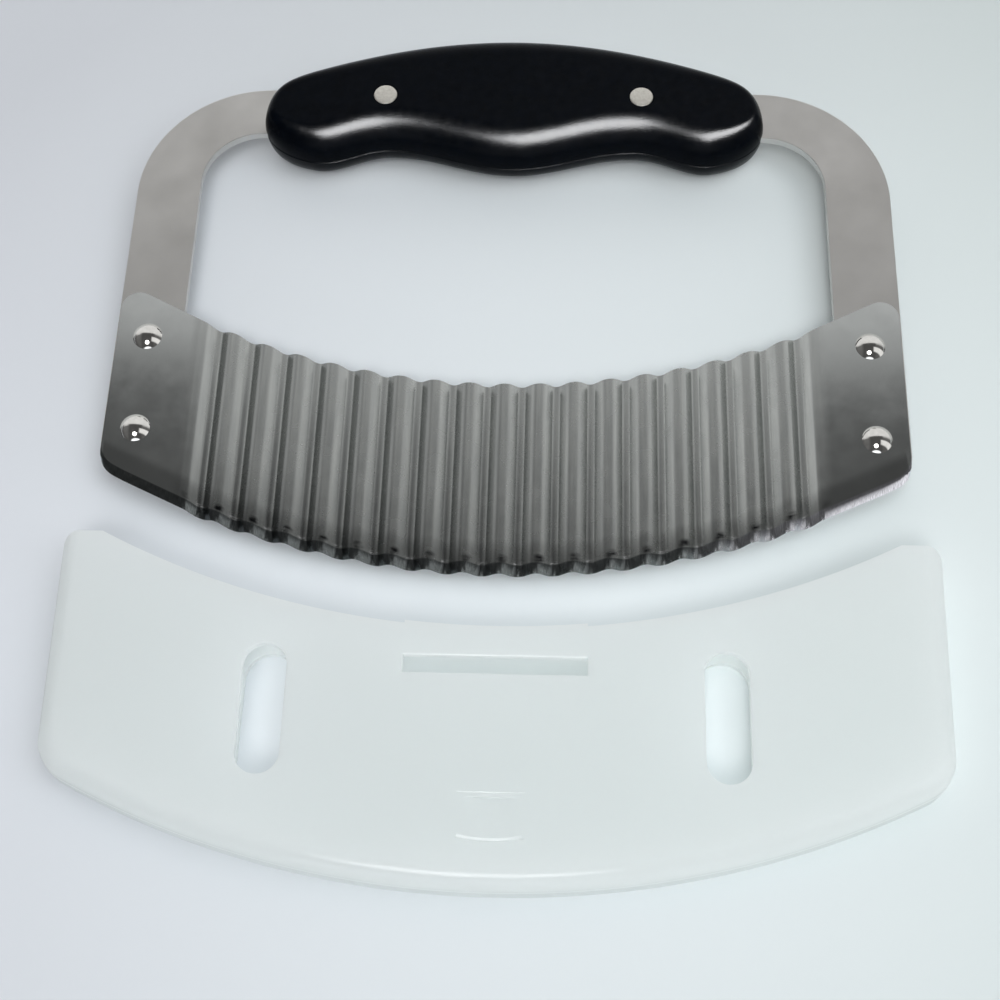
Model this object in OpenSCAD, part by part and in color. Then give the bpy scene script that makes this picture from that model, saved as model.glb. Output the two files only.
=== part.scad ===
// Crinkle cutter with its blade guard pulled off, lying on a table.
// Units are millimetres. The table is Z = 0, +X is right and +Y points at the handle.
// The cutter is drawn flat first: Z = 0 is the front face of its bow and Y = 0 the top of
// the bow. One placement then lays it on the table, where the guard is drawn directly.

/* [Bow] */
// Width over the two legs
bow_w = 178; // [160:1:200]
// Thickness of the strip
bow_t = 2; // [1.6:0.1:2.4]
// Width of each leg
leg_w = 15; // [13:0.5:17]
// Width of the bar inside the handle
bar_w = 13; // [11:0.5:14]
// Outer radius of the two corners
bow_r = 30; // [26:1:34]
// Inner radius of the two corners
bow_inner_r = 14; // [8:1:16]

/* [Blade] */
// From the top of the bow to the cutting edge, in the middle
edge_drop = 126; // [118:1:136]
// Height of the blade in the middle
blade_h = 45; // [40:1:50]
// Thickness of the sheet
blade_t = 1; // [0.8:0.1:1.2]
// Radius of the arched cutting edge
edge_r = 181; // [165:1:210]
// Radius of the arched back
back_r = 167; // [155:1:200]
// Distance from crest to crest
wave_pitch = 7.7; // [7.2:0.1:8.2]
// Bend radius of a crest at the middle of the sheet
crest_r = 2.25; // [2.1:0.05:2.4]
// Bend radius of a valley at the middle of the sheet
valley_r = 2; // [1.8:0.05:2.2]
// Slope of the straight flanks between crest and valley, in degrees
wave_slope = 40; // [36:1:42]
// How far each side of the blade stands inside the bow's side
blade_in = 0.5; // [0.2:0.1:1]
// Width of the ground bevel
bevel_w = 2.2; // [1.5:0.1:3]

/* [Handle] */
// Length of the handle
handle_l = 120; // [110:1:128]
// Thickness over both scales
handle_t = 16; // [15:0.5:18]
// Height of the handle above the top of the bow, in the middle
handle_rise = 13.5; // [11:0.1:15]
// Depth of the belly below the top of the bow, in the middle
handle_belly = 22.1; // [20:0.1:24]
// Depth of the two finger grooves
groove_depth = 5.1; // [3:0.1:5.5]
// Width of the rounded side of a scale, in the middle
side_w = 7.5; // [6:0.1:8]
// Diameter of the flush pins
pin_d = 5.6; // [4:0.1:7]
// Distance between the two pins
pin_pitch = 61; // [50:1:70]

/* [Rivets] */
// Diameter of the shank
rivet_d = 3.6; // [3:0.1:4.5]
// Diameter of the dome head
head_d = 6.6; // [6:0.1:7.5]
// Height of the dome head
head_h = 1.6; // [1.2:0.1:2]
// Diameter of the peened tail
tail_d = 5.8; // [5.4:0.1:6.5]
// Height of the peened tail
tail_h = 0.8; // [0.5:0.1:0.9]
// From the top of the bow to the upper pair
rivet_drop = 70.2; // [68:0.2:76]
// Distance between the upper and the lower pair
rivet_pitch = 23.2; // [18:0.2:24]

/* [Guard] */
// Thickness of the walls
guard_wall = 1.5; // [1.2:0.1:1.8]
// Thickness of the closed rim
rim_wall = 2; // [1.6:0.1:2.6]
// Radius of the closed rim
guard_r = 194; // [188:1:230]
// How far the mouth stands past the blade's back when the guard is on
guard_lip = 3; // [2:0.1:4]
// Gap from the cutting edge to the mouth, as it lies
guard_gap = 15.1; // [8:0.1:30]
// Room beside each end of the blade
guard_slack = 1.9; // [1.2:0.1:2.5]
// Width of the two slots
slot_w = 9; // [6:0.5:11]
// Length of the two slots
slot_l = 27; // [20:1:28]
// Width of the snap tab
tab_w = 37.4; // [30:0.2:44]

/* [Hidden] */
$fn = 64;
eps = 0.01;

STEEL = [0.64, 0.64, 0.62];
BLADE_STEEL = [0.55, 0.57, 0.57];
BRIGHT_STEEL = [0.78, 0.78, 0.76];
BLACK = [0.05, 0.05, 0.06];
MILKY = [0.86, 0.9, 0.9];

// Corrugation: as many full crests as fit between the legs, and a straight flank joins each
// crest arc to a valley arc
wave_count = 2*floor((bow_w/2 - leg_w)/wave_pitch) - 1;
wave_depth = (crest_r + valley_r)*(1 - cos(wave_slope))
    + (wave_pitch/2 - (crest_r + valley_r)*sin(wave_slope))*tan(wave_slope);
wave_end = (wave_count + 1)/2;

// Blade outline: two arcs about centres on the Y axis, with rounded tab corners, and sides a
// little inside those of the bow
blade_half = bow_w/2 - blade_in;
back_y = blade_h - edge_drop;
back_centre = back_y + back_r;
edge_centre = edge_r - edge_drop;
back_corner_r = 4;
edge_corner_r = 6;
edge_t = 0.2;

// Handle outline
handle_end_y = -11;
groove_x = 0.244*handle_l;
lobe_x = 0.404*handle_l;
scale_t = handle_t/2;
handle_back = scale_t + bow_t/2;
handle_edge = [for (i = [0:95]) let (a = 360*i/96, x = handle_l/2*cos(a))
    [x, a <= 180 ? handle_top(x) : handle_bottom(x)]];
// Side of a scale as [share of its width, height above the seam]: a fine seam chamfer, begun
// below the seam where a cut makes the flat, then a quarter ellipse, narrower at the two ends
end_w = 3.3;
seam_share = 0.035;
seam_h = 0.4;
scale_profile = [[seam_share*(1 + seam_h)/seam_h, -1], [0, seam_h],
    for (a = [15:15:75]) [1 - cos(a), scale_t*sin(a)],
    [1, scale_t]];

// Legs end behind the lower tab corners
rivet_x = (bow_w - leg_w)/2;
rivet_ys = [-rivet_drop, -rivet_drop - rivet_pitch];
leg_drop = rivet_drop + rivet_pitch + 7.5;

// Lie on the table: the back of the handle touches it, and the edge hangs high enough
// for the guard's wall to pass below
edge_hover = guard_wall + 0.7;
lie = atan((handle_back - wave_depth - edge_hover)/(edge_drop - handle_belly + side_w));
lift = -min([for (p = scale_ring(scale_profile[len(scale_profile) - 1]))
    p.y*sin(lie) - (p.z + bow_t/2)*cos(lie)]);

// Guard as it lies: Y = 0 is the middle of its closed rim
guard_depth = blade_h + guard_lip + rim_wall + 2;
guard_half = bow_w/2 + guard_slack + guard_wall;
guard_draft = 0.8;
guard_corner_r = 9;
guard_edge_r = 4;
mouth_r = 184;
guard_rim_y = -edge_drop*cos(lie) - guard_gap - guard_depth;
guard_travel = guard_gap + blade_h + guard_lip;
slot_x = bow_w*0.262;
slot_y = 34.5;
window_y = [42.5, 46.2];
tab_rise = 0.6;
hook_h = 0.6;
scoop_w = 11.8;
scoop_y = [8.5, 17.4];
scoop_d = 0.8;
scoop_r = (scoop_w*scoop_w/4 + scoop_d*scoop_d)/(2*scoop_d);
ear_h = 20;
ear_r = 4;

// Middle of the whole, so that it sits centred on the origin
handle_top_y = handle_rise*cos(lie) + bow_t/2*sin(lie);
row_y = -(handle_top_y + guard_rim_y)/2;

function unit(v) = v/norm(v);
function ease(t) = (1 - cos(180*t))/2;

// Ring moved inwards by w; the ring runs anticlockwise
function inset(ring, w) = let (n = len(ring))
    [for (i = [0:n - 1])
        let (d = unit(ring[(i + 1) % n] - ring[(i + n - 1) % n])) ring[i] + w*[-d.y, d.x]];

// Ring of a scale at one point of its side profile
function side_at(x) = end_w + (side_w - end_w)*(1 - pow(abs(x)/(handle_l/2), 4));
function scale_ring(at) = let (n = len(handle_edge))
    [for (i = [0:n - 1]) let (
            p = handle_edge[i],
            d = unit(handle_edge[(i + 1) % n] - handle_edge[(i + n - 1) % n]),
            w = at[0]*side_at(p.x))
        [p.x - w*d.y, p.y + w*d.x, at[1]]];

// Solid through a stack of rings with equal numbers of points
module loft(rings) {
    n = len(rings[0]);
    m = len(rings);
    sides = [for (j = [0:m - 2], i = [0:n - 1])
        let (a = j*n + i, b = j*n + (i + 1) % n) each [[a, a + n, b + n], [a, b + n, b]]];
    polyhedron([for (r = rings) each r],
        concat([[for (i = [0:n - 1]) i]], sides, [[for (i = [n - 1:-1:0]) (m - 1)*n + i]]));
}

// Upright outline with its upper corners rounded, hanging from Y = 0
module round_top(w, h, r) {
    translate([-w/2, -h]) square([w, h - r]);
    translate([-w/2 + r, -h]) square([w - 2*r, h]);
    for (s = [-1, 1]) translate([s*(w/2 - r), -r]) circle(r);
}

// Rounded slot, upright and centred
module slot(w, l) {
    square([w, l - w], center = true);
    for (s = [-1, 1]) translate([0, s*(l - w)/2]) circle(d = w);
}

// Lays the cutter on the table
module lay_down() {
    translate([0, row_y, lift]) rotate([lie, 0, 0]) children();
}

module rivet_places() {
    for (s = [-1, 1], y = rivet_ys) translate([s*rivet_x, y]) children();
}

module pin_places() {
    for (s = [-1, 1]) translate([s*pin_pitch/2, -bar_w/2]) children();
}

module frame_bow() {
    color(STEEL) lay_down() translate([0, 0, -bow_t]) linear_extrude(bow_t) difference() {
        union() {
            difference() {
                round_top(bow_w, leg_drop - 4, bow_r);
                translate([0, -bar_w]) round_top(bow_w - 2*leg_w, leg_drop, bow_inner_r);
            }
            for (s = [-1, 1]) translate([s*rivet_x, 0]) mirror([0, 1]) translate([0, leg_drop])
                round_top(leg_w, 20, 4);
        }
        rivet_places() circle(d = rivet_d);
        pin_places() circle(d = pin_d);
    }
}

// Back and cutting edge of the blade, with the tab corners' rounding
function back_at(x) = let (
        cx = blade_half - back_corner_r,
        cy = back_centre - sqrt(pow(back_r + back_corner_r, 2) - cx*cx),
        touch = cx*back_r/(back_r + back_corner_r))
    abs(x) < touch ? back_centre - sqrt(back_r*back_r - x*x)
        : cy + sqrt(max(0, pow(back_corner_r, 2) - pow(abs(x) - cx, 2)));

function edge_at(x) = let (
        cx = blade_half - edge_corner_r,
        cy = edge_centre - sqrt(pow(edge_r - edge_corner_r, 2) - cx*cx),
        touch = cx*edge_r/(edge_r - edge_corner_r))
    abs(x) < touch ? edge_centre - sqrt(edge_r*edge_r - x*x)
        : cy - sqrt(max(0, pow(edge_corner_r, 2) - pow(abs(x) - cx, 2)));

function bevel_at(x) = edge_at(x) + bevel_w*min(1, 0.15 + (blade_half - abs(x))/bevel_w);

// Section of the sheet as [x, z] points, off = blade_t/2 on the front and -blade_t/2 behind
function crest(k, from, to, off) = [for (a = [from, from + (to - from)/3, from + (to - from)*2/3, to])
    [k*wave_pitch + (crest_r + off)*sin(a), blade_t/2 - crest_r + (crest_r + off)*cos(a)]];

function valley(k, off) = [for (a = [-wave_slope, -wave_slope/2, 0, wave_slope/2, wave_slope])
    [k*wave_pitch + (valley_r - off)*sin(a),
        blade_t/2 - wave_depth + valley_r - (valley_r - off)*cos(a)]];

function tab(off) = [for (a = [90:-18:18]) [-blade_half + edge_corner_r*(1 - sin(a)), blade_t/2 + off]];

function section(off) = let (half = [
        each tab(off),
        each crest(-wave_end, 0, wave_slope, off),
        for (k = [-wave_end:-1]) each [
            each valley(k + 0.5, off),
            each crest(k + 1, -wave_slope, 0, off),
            if (k < -1) each [for (i = [1:3]) crest(k + 1, 0, wave_slope, off)[i]]]])
    [each half, for (i = [len(half) - 2:-1:0]) [-half[i][0], half[i][1]]];

module wavy_blade() {
    front = section(blade_t/2);
    rear = section(-blade_t/2);
    columns = [for (i = [0:len(front) - 1]) let (
            f = front[i],
            b = rear[i],
            e = b + (f - b)*edge_t/blade_t)
        [[f[0], back_at(f[0]), f[1]], [f[0], bevel_at(f[0]), f[1]], [e[0], edge_at(e[0]), e[1]],
            [b[0], edge_at(b[0]), b[1]], [b[0], back_at(b[0]), b[1]]]];
    color(BLADE_STEEL) lay_down() difference() {
        loft(columns);
        rivet_places() translate([0, 0, -eps]) cylinder(d = rivet_d, h = blade_t + 2*eps);
    }
}

// Handle outline: a bowed top, and below it a belly between two finger grooves
function end_close(x, power, sharp) = pow(max(0, 1 - pow(abs(x)/(handle_l/2), power)), sharp);

function handle_top(x) = handle_end_y
    + (handle_rise - 14.9*pow(x/(handle_l/2), 2) - handle_end_y)*end_close(x, 23, 0.5);

function handle_bottom(x) = let (
        t = abs(x) < groove_x ? 1 - abs(x)/groove_x : (abs(x) - groove_x)/(lobe_x - groove_x),
        low = -handle_belly + groove_depth*(1 - ease(min(1, t))))
    handle_end_y + (low - handle_end_y)*end_close(x, 7, 0.6);

module scale_half() {
    difference() {
        loft([for (at = scale_profile) scale_ring(at)]);
        translate([-handle_l, -handle_l, -2]) cube([2*handle_l, 2*handle_l, 2]);
        translate([-handle_l, -bar_w, -2]) cube([2*handle_l, bar_w, 2 + bow_t/2]);
        pin_places() translate([0, 0, -2]) cylinder(d = pin_d, h = scale_t + 4);
    }
}

module handle_scale_front() {
    color(BLACK) lay_down() translate([0, 0, -bow_t/2]) scale_half();
}

module handle_scale_rear() {
    color(BLACK) lay_down() translate([0, 0, -bow_t/2]) mirror([0, 0, 1]) scale_half();
}

module handle_pin(side) {
    color(BRIGHT_STEEL) lay_down() translate([side*pin_pitch/2, -bar_w/2, -handle_back])
        cylinder(d = pin_d, h = handle_t);
}

// Cap of a ball, base diameter d and height h, as half a section to spin
module cap_section(d, h) {
    r = (d*d/4 + h*h)/(2*h);
    intersection() {
        translate([0, h - r]) circle(r);
        square([d/2, h]);
    }
}

module blade_rivet(side, y) {
    color(BRIGHT_STEEL) lay_down() translate([side*rivet_x, y, 0]) {
        translate([0, 0, blade_t]) rotate_extrude() cap_section(head_d, head_h);
        translate([0, 0, -bow_t - eps]) cylinder(d = rivet_d, h = bow_t + blade_t + 2*eps);
        translate([0, 0, -bow_t]) mirror([0, 0, 1]) rotate_extrude() cap_section(tail_d, tail_h);
    }
}

// Height of the guard's front face above the table, y up from the closed rim: parallel to
// the cutter when the guard is on, clear of the dome heads
head_room = blade_t + head_h + 0.4;
function guard_top(y) = lift + (head_room + guard_wall)/cos(lie) + (guard_rim_y + guard_travel + y)*tan(lie);

// Closed rim and sides in plan, half width w and rim radius r; the top is left long for the mouth cut
function guard_plan(w, r, corner) = let (
        cx = w - guard_draft - corner,
        cy = r - sqrt(pow(r - corner, 2) - cx*cx),
        turn = asin(cx/(r - corner)),
        right = [each [for (i = [0:23]) let (a = turn*i/24) [r*sin(a), r - r*cos(a)]],
            each [for (i = [0:6]) let (a = turn + (90 - turn)*i/6)
                [cx + corner*sin(a), cy - corner*cos(a)]],
            [w, guard_depth + 24]])
    [each right, for (i = [len(right) - 1:-1:1]) [-right[i].x, right[i].y]];

// Space in front of the guard's front face, moved back by d
module before_front(d) {
    translate([0, 0, guard_top(0) - d]) rotate([lie, 0, 0]) translate([-2*guard_half, -guard_depth, 0])
        cube([4*guard_half, 3*guard_depth, guard_depth]);
}

// Sleeve form from z up to the front face moved back by d, its front edge rounded
module guard_form(w, r, corner, edge, z, d) {
    rim = guard_plan(w, r, corner);
    rounding = [for (a = [0:15:75]) [edge*(1 - cos(a)), edge*(sin(a) - 1)]];
    difference() {
        loft([
            [for (p = rim) [p.x, p.y, z - 2]],
            for (at = rounding) [for (p = inset(rim, at[0])) [p.x, p.y, guard_top(p.y) - d + at[1]]],
            [for (p = inset(rim, edge*0.9)) [p.x, p.y, guard_top(p.y) - d + 2]]]);
        translate([-2*guard_half, -guard_depth, z - guard_depth])
            cube([4*guard_half, 3*guard_depth, guard_depth]);
        before_front(d);
    }
}

// Pocket for the blade, open at the mouth, with the snap tab's hook left standing
module guard_pocket() {
    hook_y = guard_depth - guard_lip + 0.4;
    difference() {
        translate([0, rim_wall, 0]) guard_form(guard_half - guard_wall, guard_r - rim_wall,
            guard_corner_r - guard_wall, guard_edge_r - guard_wall, guard_wall, guard_wall - rim_wall*tan(lie));
        intersection() {
            translate([-tab_w/2 + 1, hook_y, 0]) cube([tab_w - 2, 2, 40]);
            before_front(guard_wall + hook_h);
        }
    }
}

// Mouth: an arched cut, a little lower beside the snap tab of the front wall
module guard_mouth() {
    split = guard_top(guard_depth)/2;
    translate([0, 0, -1]) linear_extrude(60) intersection() {
        translate([0, guard_depth + mouth_r + tab_rise]) circle(mouth_r, $fn = 180);
        translate([-150, 0]) square([300, 200]);
    }
    difference() {
        translate([0, 0, -1]) linear_extrude(60) intersection() {
            translate([0, guard_depth + mouth_r]) circle(mouth_r, $fn = 180);
            translate([-150, 0]) square([300, 200]);
        }
        translate([-tab_w/2, guard_depth - 5, split]) cube([tab_w, 20, 60]);
    }
    translate([-150, guard_depth + ear_h, -1]) cube([300, 60, 60]);
    for (s = [-1, 1]) translate([s*(guard_half - ear_r), guard_depth + ear_h - ear_r, -1])
        linear_extrude(60) difference() {
            translate([s > 0 ? 0 : -ear_r - 1, 0]) square(ear_r + 1);
            circle(ear_r);
        }
}

// Thumb scoop in the front face: a slanted round channel, deepest at its upper step
module guard_scoop() {
    fall = atan(scoop_d/(scoop_y[1] - scoop_y[0]));
    translate([0, scoop_y[1], guard_top(scoop_y[1])]) rotate([lie - fall, 0, 0])
        translate([0, 0, scoop_r - scoop_d]) rotate([90, 0, 0])
            cylinder(r = scoop_r, h = 2*(scoop_y[1] - scoop_y[0]), $fn = 180);
}

module blade_guard() {
    color(MILKY) translate([0, row_y + guard_rim_y, 0]) difference() {
        guard_form(guard_half, guard_r, guard_corner_r, guard_edge_r, 0, 0);
        guard_pocket();
        guard_mouth();
        for (s = [-1, 1]) translate([s*slot_x, slot_y, 0]) {
            translate([0, 0, guard_wall + 1]) linear_extrude(40) slot(slot_w, slot_l);
            translate([0, 0, -1]) linear_extrude(guard_wall + 2) slot(slot_w + 2, slot_l + 2);
        }
        translate([-tab_w/2, window_y[0], guard_wall + 1]) cube([tab_w, window_y[1] - window_y[0], 40]);
        guard_scoop();
    }
}

frame_bow();
wavy_blade();
handle_scale_front();
handle_scale_rear();
handle_pin(-1);  // handle_pin_left
handle_pin(1);  // handle_pin_right
blade_rivet(-1, rivet_ys[0]);  // blade_rivet_upper_left
blade_rivet(-1, rivet_ys[1]);  // blade_rivet_lower_left
blade_rivet(1, rivet_ys[0]);  // blade_rivet_upper_right
blade_rivet(1, rivet_ys[1]);  // blade_rivet_lower_right
blade_guard();
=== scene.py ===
# %% [markdown]
# # A crinkle cutter beside its guard
#
# A crinkle cutter is a wavy blade on a flat steel bow, with a grip on top. It cuts
# vegetables into ridged slices, and a milky guard slides over its edge for the drawer.
# The CAD model is loaded first and stays the fixed frame: every piece modelled here takes
# the place of a CAD solid, at the same size, and adds the soft edges and finishes that a
# solid model leaves out.

# %% Load the frame
import math

import bmesh
import bpy
from mathutils import Matrix, Vector


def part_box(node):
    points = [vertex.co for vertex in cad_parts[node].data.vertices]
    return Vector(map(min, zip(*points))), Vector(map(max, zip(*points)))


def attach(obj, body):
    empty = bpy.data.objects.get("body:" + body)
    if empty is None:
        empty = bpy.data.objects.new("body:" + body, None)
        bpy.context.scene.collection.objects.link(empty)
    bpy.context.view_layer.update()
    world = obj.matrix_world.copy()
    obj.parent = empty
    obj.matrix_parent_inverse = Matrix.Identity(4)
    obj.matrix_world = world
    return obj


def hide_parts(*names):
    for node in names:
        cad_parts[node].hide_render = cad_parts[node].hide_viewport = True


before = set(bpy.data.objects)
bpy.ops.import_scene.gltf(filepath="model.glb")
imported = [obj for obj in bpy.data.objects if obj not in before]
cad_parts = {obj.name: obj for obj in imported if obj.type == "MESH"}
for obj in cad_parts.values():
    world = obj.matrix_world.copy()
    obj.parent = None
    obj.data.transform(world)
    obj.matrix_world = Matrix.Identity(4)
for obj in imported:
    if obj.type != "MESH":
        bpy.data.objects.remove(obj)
scene = bpy.context.scene
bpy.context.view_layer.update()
print("CAD nodes:", ", ".join(sorted(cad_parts)))

# %% [markdown]
# ## Drawing flat, then laying down
#
# The cutter leans a little on the table, which would make every number awkward. So each of
# its pieces is drawn flat and in millimetres: the front of the bow is Z = 0 and its top edge
# Y = 0. One matrix then lays the finished mesh down and turns millimetres into metres. The
# guard already lies flat, so its matrix only moves the middle of its closed rim into place.

# %% Two placements
MM = 0.001
LIE = math.radians(2.50186)
BOW_TOP = Vector((0, 0.0897246, 0.0096428))
LAY_DOWN = Matrix.Translation(BOW_TOP) @ Matrix.Rotation(LIE, 4, "X") @ Matrix.Scale(MM, 4)
GUARD_RIM = Vector((0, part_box("blade_guard")[0].y, 0))
GUARD_PLACE = Matrix.Translation(GUARD_RIM) @ Matrix.Scale(MM, 4)
print("guard rim at y =", round(GUARD_RIM.y, 4), "m")
print("cutter leans", round(math.degrees(LIE), 2), "degrees")

# %% [markdown]
# ## One way to finish every piece
#
# Each mesh ends the same way: its doubles are merged, its normals point outwards, it is laid
# down, and only edges steeper than a set angle stay sharp. A hollow piece can come out of the
# normals step inside out, and then its volume is negative, so it is turned round. A Weighted
# Normal modifier lets the large flat faces rule the shading, so a narrow rounded edge catches a
# clean highlight. The piece then rides on a CAD body and hides the node that it stands for.

# %% Finishing helper
def finish_piece(bm, name, place, stands_for, body="cutter", sharp=40):
    bmesh.ops.remove_doubles(bm, verts=bm.verts, dist=0.0005)
    bmesh.ops.recalc_face_normals(bm, faces=bm.faces)
    if bm.calc_volume(signed=True) < 0:
        bmesh.ops.reverse_faces(bm, faces=bm.faces)
    bmesh.ops.transform(bm, matrix=place, verts=bm.verts)
    mesh = bpy.data.meshes.new(name)
    bm.to_mesh(mesh)
    bm.free()
    mesh.shade_smooth()
    mesh.set_sharp_from_angle(angle=math.radians(sharp))
    piece = bpy.data.objects.new(name, mesh)
    scene.collection.objects.link(piece)
    even = piece.modifiers.new("even_shading", "WEIGHTED_NORMAL")
    even.keep_sharp = True
    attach(piece, body)
    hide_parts(stands_for)
    print(name, "has", len(mesh.polygons), "faces and stands for", stands_for)
    return piece


# %% [markdown]
# ## The bow
#
# The real bow is a strip of sheet steel, blanked as a flat hoop and tumbled so its edges are
# just broken. It could be swept along a path, but the bar and the legs have different widths.
# It is easier to draw eight corners, round them with a vertex bevel, raise the sheet's
# thickness and break the edges with a tiny edge bevel.

# %% Blank the bow
BOW_W, BOW_T, LEG_W, BAR_W, LEG_DROP = 178, 2, 15, 13, 100.9
OUTER_R, INNER_R, FOOT_R, BOW_EDGE = 30, 14, 4, 0.18


def raise_sheet(bm, height):
    lifted = bmesh.ops.extrude_face_region(bm, geom=bm.faces[:])
    upper = [part for part in lifted["geom"] if isinstance(part, bmesh.types.BMVert)]
    bmesh.ops.translate(bm, verts=upper, vec=(0, 0, height))
    bmesh.ops.recalc_face_normals(bm, faces=bm.faces)
    return upper


def round_corners(bm, corners, radius, steps):
    bmesh.ops.bevel(bm, geom=corners, offset=radius, offset_type="OFFSET", segments=steps,
                    profile=0.5, affect="VERTICES", material=-1)


def break_edges(bm, edges, width, steps):
    bmesh.ops.bevel(bm, geom=edges, offset=width, offset_type="OFFSET", segments=steps,
                    profile=0.5, affect="EDGES", clamp_overlap=True, material=-1)


def steep_edges(bm, angle):
    return [e for e in bm.edges if len(e.link_faces) == 2 and e.calc_face_angle() > math.radians(angle)]


outer_x, inner_x = BOW_W / 2, BOW_W / 2 - LEG_W
bow = bmesh.new()
hoop = [bow.verts.new((x, y, -BOW_T)) for x, y in (
    (-outer_x, -LEG_DROP), (-outer_x, 0), (outer_x, 0), (outer_x, -LEG_DROP),
    (inner_x, -LEG_DROP), (inner_x, -BAR_W), (-inner_x, -BAR_W), (-inner_x, -LEG_DROP))]
bow.faces.new(hoop)
round_corners(bow, [hoop[1], hoop[2]], OUTER_R, 28)
round_corners(bow, [hoop[5], hoop[6]], INNER_R, 18)
round_corners(bow, [hoop[i] for i in (0, 3, 4, 7)], FOOT_R, 6)
raise_sheet(bow, BOW_T)
break_edges(bow, steep_edges(bow, 60), BOW_EDGE, 2)
bow_piece = finish_piece(bow, "steel_bow", LAY_DOWN, "frame_bow")

# %% [markdown]
# ## The wavy blade
#
# The blade is ground along one edge while it is still flat, and then pressed into waves:
# round crests and valleys joined by straight flanks. The same order works here. A line of
# vertices is bent round by spins, once for the front face and once for the rear, each line
# is drawn out into a sheet, and the two sheets are bridged along their rims.

# %% Shape of the blade
BLADE_T, EDGE_DROP, BLADE_H, EDGE_R, BACK_R = 1.0, 126, 45, 181, 167
BLADE_IN, END_BEVEL = 0.5, 0.15
BLADE_HALF = BOW_W / 2 - BLADE_IN
PITCH, CRESTS, CREST_R, VALLEY_R, SLOPE = 7.7, 17, 2.25, 2.0, math.radians(40)
BEVEL_W, EDGE_LEFT, BACK_CORNER, EDGE_CORNER = 2.2, 0.2, 4, 6
FLANK = PITCH / 2 - (CREST_R + VALLEY_R) * math.sin(SLOPE)
DEPTH = (CREST_R + VALLEY_R) * (1 - math.cos(SLOPE)) + FLANK * math.tan(SLOPE)
BACK_CENTRE = BLADE_H - EDGE_DROP + BACK_R
EDGE_CENTRE = EDGE_R - EDGE_DROP


def back_at(x):
    cx = BLADE_HALF - BACK_CORNER
    if abs(x) < cx * BACK_R / (BACK_R + BACK_CORNER):
        return BACK_CENTRE - math.sqrt(BACK_R ** 2 - x * x)
    cy = BACK_CENTRE - math.sqrt((BACK_R + BACK_CORNER) ** 2 - cx * cx)
    return cy + math.sqrt(max(0, BACK_CORNER ** 2 - (abs(x) - cx) ** 2))


def edge_at(x):
    cx = BLADE_HALF - EDGE_CORNER
    if abs(x) < cx * EDGE_R / (EDGE_R - EDGE_CORNER):
        return EDGE_CENTRE - math.sqrt(EDGE_R ** 2 - x * x)
    cy = EDGE_CENTRE - math.sqrt((EDGE_R - EDGE_CORNER) ** 2 - cx * cx)
    return cy - math.sqrt(max(0, EDGE_CORNER ** 2 - (abs(x) - cx) ** 2))


def bevel_at(x):
    return edge_at(x) + BEVEL_W * min(1, END_BEVEL + (BLADE_HALF - abs(x)) / BEVEL_W)


print("waves are", round(DEPTH, 2), "mm deep with flanks at", round(math.degrees(SLOPE), 1), "degrees")

# %% Steps along a wavy line
CREST_STEPS, VALLEY_STEPS, TAB_STEPS = 10, 10, 8


def spin_on(bm, line, x, z, angle, steps):
    bmesh.ops.spin(bm, geom=[line[-1]], cent=(x, 0, z), axis=(0, 1, 0), angle=angle, steps=steps)
    bm.verts.ensure_lookup_table()
    line.extend(bm.verts[-steps:])


def draw_on(bm, line, x):
    made = bmesh.ops.extrude_vert_indiv(bm, verts=[line[-1]])
    made["verts"][0].co.x = x
    line.append(made["verts"][0])


def flank_on(bm, line, rise):
    made = bmesh.ops.extrude_vert_indiv(bm, verts=[line[-1]])
    made["verts"][0].co += FLANK * Vector((1, 0, rise * math.tan(SLOPE)))
    line.append(made["verts"][0])


print("one wave takes", CREST_STEPS + VALLEY_STEPS + 2, "steps")

# %% Bend one line into waves
LAST_CREST = (CRESTS + 1) / 2


def wave_line(bm, off):
    crest_z = BLADE_T / 2 - CREST_R
    valley_z = BLADE_T / 2 - DEPTH + VALLEY_R
    line = [bm.verts.new((-BLADE_HALF, 0, BLADE_T / 2 + off))]
    for step in range(1, TAB_STEPS + 1):
        draw_on(bm, line, -BLADE_HALF + EDGE_CORNER * (1 - math.cos(math.pi / 2 * step / TAB_STEPS)))
    draw_on(bm, line, -LAST_CREST * PITCH)
    spin_on(bm, line, -LAST_CREST * PITCH, crest_z, SLOPE, CREST_STEPS // 2)
    for wave in range(CRESTS + 1):
        x = (wave + 0.5 - LAST_CREST) * PITCH
        flank_on(bm, line, -1)
        spin_on(bm, line, x, valley_z, -2 * SLOPE, VALLEY_STEPS)
        flank_on(bm, line, 1)
        turn, steps = (2 * SLOPE, CREST_STEPS) if wave < CRESTS else (SLOPE, CREST_STEPS // 2)
        spin_on(bm, line, x + PITCH / 2, crest_z, turn, steps)
    for step in range(TAB_STEPS, -1, -1):
        draw_on(bm, line, BLADE_HALF - EDGE_CORNER * (1 - math.cos(math.pi / 2 * step / TAB_STEPS)))
    return line


blade = bmesh.new()
front_line = wave_line(blade, BLADE_T / 2)
rear_line = wave_line(blade, -BLADE_T / 2)
sections = [(f.co.copy(), r.co.copy()) for f, r in zip(front_line, rear_line)]
print("one wavy line has", len(front_line), "points")

# %% Draw the lines out into two sheets and close their rim
ROWS = 9


def draw_out(bm, line):
    rows = [line]
    for _ in range(ROWS):
        last = set(rows[-1])
        edges = [e for e in bm.edges if e.verts[0] in last and e.verts[1] in last]
        made = bmesh.ops.extrude_edge_only(bm, edges=edges)
        new = [part for part in made["geom"] if isinstance(part, bmesh.types.BMVert)]
        rows.append(sorted(new, key=lambda v: v.co.x))
    return rows


def blend(a, b, share):
    return a + (b - a) * share


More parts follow.
